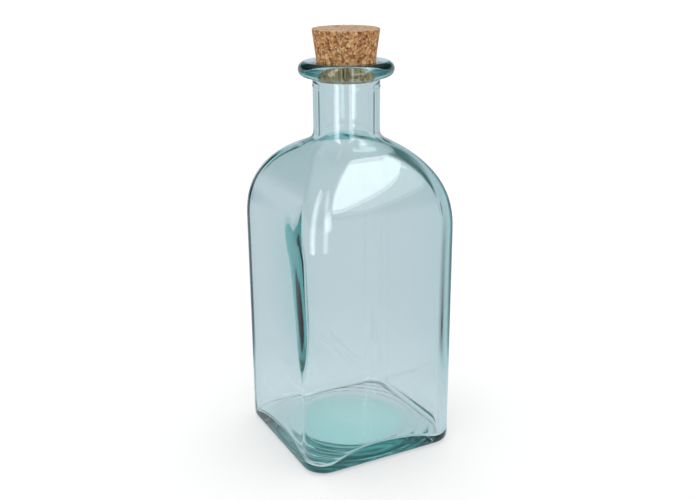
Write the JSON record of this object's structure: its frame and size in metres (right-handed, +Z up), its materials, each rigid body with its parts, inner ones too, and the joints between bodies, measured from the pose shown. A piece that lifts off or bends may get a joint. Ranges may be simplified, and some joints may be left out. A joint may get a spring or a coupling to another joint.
{
  "type": "stoppered bottle",
  "caption": "Square pale aqua glass bottle with a domed shoulder, round neck and rounded lip, closed by a tapered cork stopper that pulls out upwards.",
  "frame": {"origin": "middle of the base, on the surface the bottle stands on", "axes": "+Z up along the neck, the flat sides facing along X and Y"},
  "size_m": [0.09, 0.09, 0.2288],
  "materials": {
    "aqua_glass": "clear, pale aqua, smooth",
    "agglomerated_cork": "matt, granular agglomerated cork"
  },
  "bodies": {
    "bottle": {"glass_bottle": "aqua_glass"},
    "stopper": {"cork_stopper": "agglomerated_cork"}
  },
  "joints": [
    {"name": "cork_pull", "type": "slide", "parent": "bottle", "child": "stopper", "axis": [0, 0, 1], "range_m": [0, 0.06]}
  ]
}
